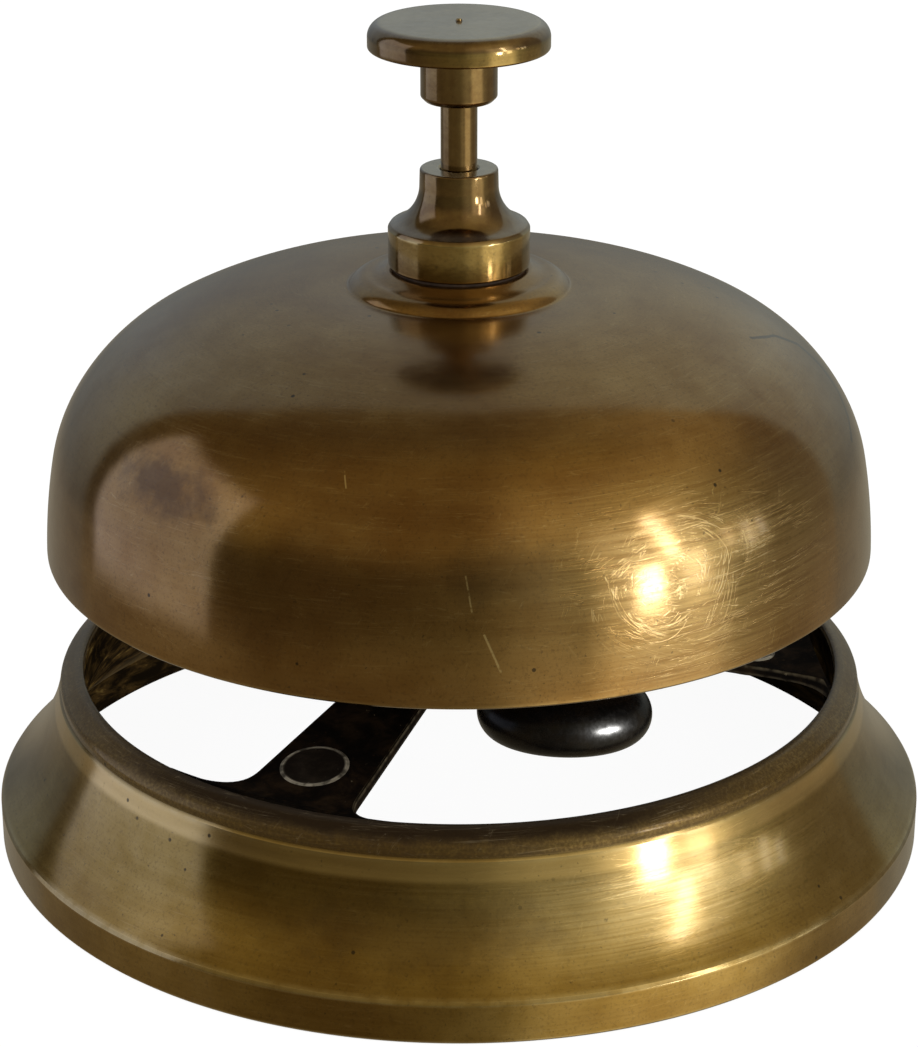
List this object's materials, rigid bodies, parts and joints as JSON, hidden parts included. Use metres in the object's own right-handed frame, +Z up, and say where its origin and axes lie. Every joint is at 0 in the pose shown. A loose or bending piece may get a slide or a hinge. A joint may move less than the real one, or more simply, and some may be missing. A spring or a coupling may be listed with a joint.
{
  "type": "counter call bell",
  "caption": "Palm-push counter call bell: a cast three-armed base, a dome on a hollow post, and a sprung plunger that swings a hammer up against the rim.",
  "frame": {"origin": "centre of the foot's rest face, on the table plane, under the plunger axis", "axes": "+Z up along the plunger and dome axis; the hammer lever points 70 degrees from +X towards -Y; the first base arm points 117 degrees from +X on the same side"},
  "size_m": [0.0998, 0.0998, 0.0875],
  "materials": {
    "cast_brass": "aged cast brass, turned and rubbed, dark patina inside",
    "dome_brass": "aged turned bell brass, satin-gloss, fine circular marks",
    "turned_brass": "aged turned brass, satin",
    "dark_bronze": "near-black patinated bronze, glossy",
    "frame_brass": "dull patinated brass",
    "steel": "dulled steel",
    "spring_steel": "spring steel, oiled",
    "fibre": "pressed leather washer, dark brown"
  },
  "bodies": {
    "base": {"base_casting": "cast_brass", "arm_rivets": "cast_brass", "mechanism_frame": "frame_brass", "frame_washer": "frame_brass", "frame_nut": "steel", "post": "frame_brass", "post_lock_nut": "steel", "lower_dome_washer": "fibre", "upper_dome_washer": "fibre", "bell_dome": "dome_brass", "finial_nut": "turned_brass", "pivot_screw": "steel", "pivot_nut": "steel", "pivot_washers": "frame_brass", "plunger_spring": "spring_steel"},
    "plunger": {"plunger_rod": "turned_brass", "stop_collar": "frame_brass", "collar_pin": "steel", "push_knob": "turned_brass"},
    "hammer": {"hammer_lever": "dark_bronze", "hammer_head": "dark_bronze", "hammer_screw": "steel"}
  },
  "joints": [
    {"name": "plunger_slide", "type": "slide", "parent": "base", "child": "plunger", "axis": [0, 0, -1], "range_m": [0, 0.0056], "stiffness_N_per_m": 400, "springref_m": -0.005, "deforming": ["plunger_spring"]},
    {"name": "hammer_swing", "type": "hinge", "parent": "base", "child": "hammer", "pos_m": [0.00584, -0.01596, 0.0376], "axis": [-0.9391, -0.3437, 0], "range_deg": [0, 18.9]}
  ],
  "couplings": [
    {"joint": "hammer_swing", "follows": "plunger_slide", "rad_per_m": 58.824}
  ]
}
